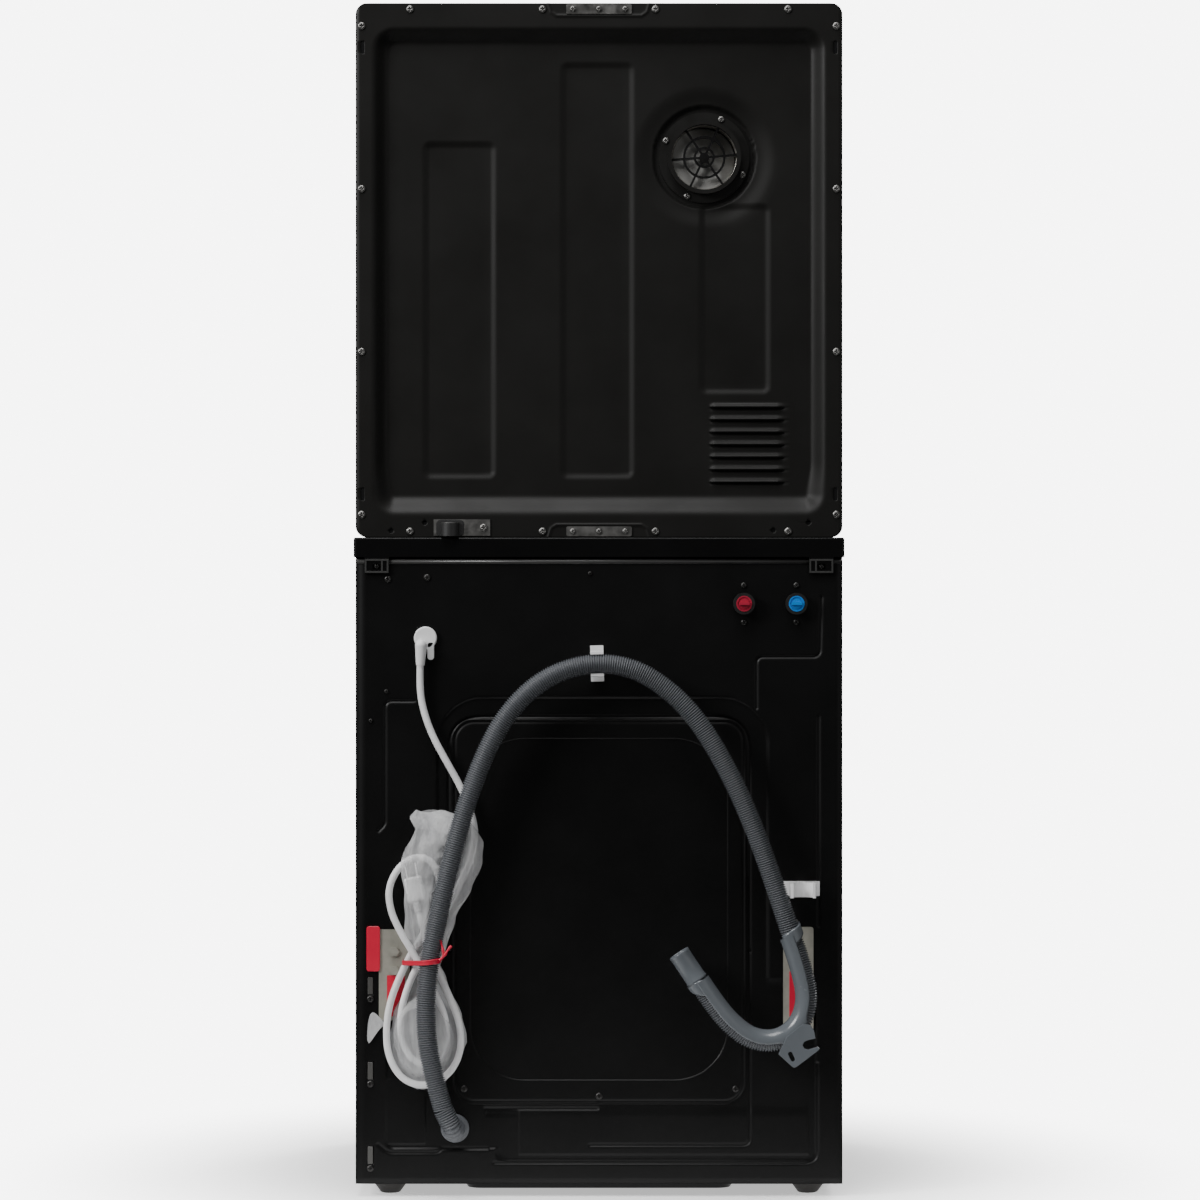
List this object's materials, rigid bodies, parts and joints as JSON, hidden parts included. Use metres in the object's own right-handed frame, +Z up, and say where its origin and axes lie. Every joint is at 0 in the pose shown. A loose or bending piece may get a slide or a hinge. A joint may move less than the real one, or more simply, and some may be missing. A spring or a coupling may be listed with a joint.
{
  "type": "washer dryer stack",
  "caption": "Vented dryer stacked on a compact front-loading washer, with drain hose, bundled power cord, water inlets and transit fittings on the rear",
  "frame": {"origin": "on the floor, in the middle of the footprint", "axes": "+Z up, the doors face -Y, the rear panels face +Y, +X to the right as seen from the front"},
  "size_m": [0.6, 0.6017, 1.459],
  "materials": {
    "black_steel": "semi-gloss black paint",
    "rear_steel": "satin dark grey paint",
    "black_plastic": "gloss black moulding",
    "dark_plastic": "matt black moulding",
    "worktop_black": "satin black board",
    "zinc_steel": "zinc plated",
    "stainless": "brushed",
    "cast_alloy": "as cast",
    "dark_glass": "tinted",
    "grey_rubber": "matt",
    "black_rubber": "matt",
    "hose_grey": "ribbed, satin",
    "guide_grey": "smooth, satin",
    "white_plastic": "satin white moulding",
    "grey_plastic": "moulded tub resin",
    "red_plastic": "moulded",
    "blue_plastic": "moulded",
    "concrete": "cast block",
    "white_cord": "satin white sheath",
    "clear_film": "thin clear film"
  },
  "bodies": {
    "cabinets": {"washer_base": "rear_steel", "washer_side_panels": "black_steel", "washer_rear_panel": "rear_steel", "washer_access_cover": "rear_steel", "washer_front_panel": "black_steel", "washer_worktop": "worktop_black", "washer_control_panel": "black_plastic", "panel_screws": "zinc_steel", "inlet_valves": "dark_plastic", "hot_inlet_cap": "red_plastic", "cold_inlet_cap": "blue_plastic", "washer_tub": "grey_plastic", "door_gasket": "grey_rubber", "counterweights": "concrete", "tub_suspension": "zinc_steel", "drive_motors": "zinc_steel", "drive_belts": "black_rubber", "drain_pump": "grey_plastic", "transit_brackets": "zinc_steel", "hose_clips": "white_plastic", "cord_gland": "white_plastic", "door_hinges": "zinc_steel", "dryer_base": "rear_steel", "dryer_cabinet": "black_steel", "dryer_rear_panel": "rear_steel", "dryer_front_panel": "black_steel", "dryer_control_panel": "black_plastic", "exhaust_outlet": "dark_plastic", "rear_brackets": "zinc_steel", "rear_bulkhead": "zinc_steel", "heater": "zinc_steel", "power_cord": "white_cord", "power_plug": "white_plastic", "cord_bag": "clear_film", "bundle_tie": "red_plastic", "drain_hose": "hose_grey", "hose_guide": "guide_grey"},
    "washer_door": {"washer_door_frame": "black_plastic", "washer_door_glass": "dark_glass"},
    "washer_drum_assembly": {"washer_drum": "stainless", "drum_shaft": "cast_alloy", "drum_pulley": "cast_alloy"},
    "washer_motor_rotor": {"washer_motor_pulley": "zinc_steel"},
    "detergent_drawer": {"detergent_drawer": "black_plastic"},
    "washer_knob": {"washer_knob": "black_plastic"},
    "washer_start_button": {"washer_start_button": "black_plastic"},
    "front_left_foot": {"front_left_foot": "black_rubber"},
    "front_right_foot": {"front_right_foot": "black_rubber"},
    "rear_left_foot": {"rear_left_foot": "black_rubber"},
    "rear_right_foot": {"rear_right_foot": "black_rubber"},
    "filter_flap": {"filter_flap": "dark_plastic"},
    "pump_filter": {"pump_filter": "grey_plastic"},
    "dryer_door": {"dryer_door_frame": "black_plastic", "dryer_door_glass": "dark_glass"},
    "dryer_drum": {"dryer_drum": "stainless"},
    "blower": {"blower_wheel": "dark_plastic", "dryer_motor_shaft": "zinc_steel"},
    "lint_filter": {"lint_filter": "grey_plastic"},
    "dryer_knob": {"dryer_knob": "black_plastic"},
    "dryer_start_button": {"dryer_start_button": "black_plastic"}
  },
  "joints": [
    {"name": "washer_door_hinge", "type": "hinge", "parent": "cabinets", "child": "washer_door", "pos_m": [-0.209, -0.277, 0.4], "axis": [0, 0, -1], "range_deg": [0, 135]},
    {"name": "washer_drum_spin", "type": "hinge", "parent": "cabinets", "child": "washer_drum_assembly", "pos_m": [0, 0.1, 0.4], "axis": [0, 1, 0], "continuous": true},
    {"name": "washer_motor_spin", "type": "hinge", "parent": "cabinets", "child": "washer_motor_rotor", "pos_m": [0.11, 0.2, 0.105], "axis": [0, 1, 0], "continuous": true},
    {"name": "drawer_slide", "type": "slide", "parent": "cabinets", "child": "detergent_drawer", "axis": [0, -1, 0], "range_m": [0, 0.18]},
    {"name": "washer_knob_turn", "type": "hinge", "parent": "cabinets", "child": "washer_knob", "pos_m": [0, -0.27, 0.736], "axis": [0, 1, 0], "continuous": true},
    {"name": "washer_button_press", "type": "slide", "parent": "cabinets", "child": "washer_start_button", "axis": [0, 1, 0], "range_m": [0, 0.0025], "stiffness_N_per_m": 300, "springref_m": -0.001},
    {"name": "front_left_foot_screw", "type": "slide", "parent": "cabinets", "child": "front_left_foot", "axis": [0, 0, -1], "range_m": [0, 0.012]},
    {"name": "front_right_foot_screw", "type": "slide", "parent": "cabinets", "child": "front_right_foot", "axis": [0, 0, -1], "range_m": [0, 0.012]},
    {"name": "rear_left_foot_screw", "type": "slide", "parent": "cabinets", "child": "rear_left_foot", "axis": [0, 0, -1], "range_m": [0, 0.012]},
    {"name": "rear_right_foot_screw", "type": "slide", "parent": "cabinets", "child": "rear_right_foot", "axis": [0, 0, -1], "range_m": [0, 0.012]},
    {"name": "filter_flap_hinge", "type": "hinge", "parent": "cabinets", "child": "filter_flap", "pos_m": [0.215, -0.2555, 0.0485], "axis": [1, 0, 0], "range_deg": [0, 90]},
    {"name": "pump_filter_turn", "type": "hinge", "parent": "cabinets", "child": "pump_filter", "pos_m": [0.215, -0.24, 0.085], "axis": [0, 1, 0], "range_deg": [0, 90]},
    {"name": "dryer_door_hinge", "type": "hinge", "parent": "cabinets", "child": "dryer_door", "pos_m": [-0.209, -0.277, 1.105], "axis": [0, 0, -1], "range_deg": [0, 135]},
    {"name": "dryer_drum_spin", "type": "hinge", "parent": "cabinets", "child": "dryer_drum", "pos_m": [0, 0.15, 1.105], "axis": [0, 1, 0], "continuous": true},
    {"name": "blower_spin", "type": "hinge", "parent": "cabinets", "child": "blower", "pos_m": [-0.205, 0.1, 0.9], "axis": [0, 1, 0], "continuous": true},
    {"name": "lint_filter_pull", "type": "slide", "parent": "dryer_drum", "child": "lint_filter", "axis": [0, -1, 0], "range_m": [0, 0.06]},
    {"name": "dryer_knob_turn", "type": "hinge", "parent": "cabinets", "child": "dryer_knob", "pos_m": [0, -0.27, 1.4115], "axis": [0, 1, 0], "continuous": true},
    {"name": "dryer_button_press", "type": "slide", "parent": "cabinets", "child": "dryer_start_button", "axis": [0, 1, 0], "range_m": [0, 0.0025], "stiffness_N_per_m": 300, "springref_m": -0.001}
  ],
  "couplings": [
    {"joint": "washer_motor_spin", "follows": "washer_drum_spin", "ratio": 13.636},
    {"joint": "blower_spin", "follows": "dryer_drum_spin", "ratio": 24}
  ]
}
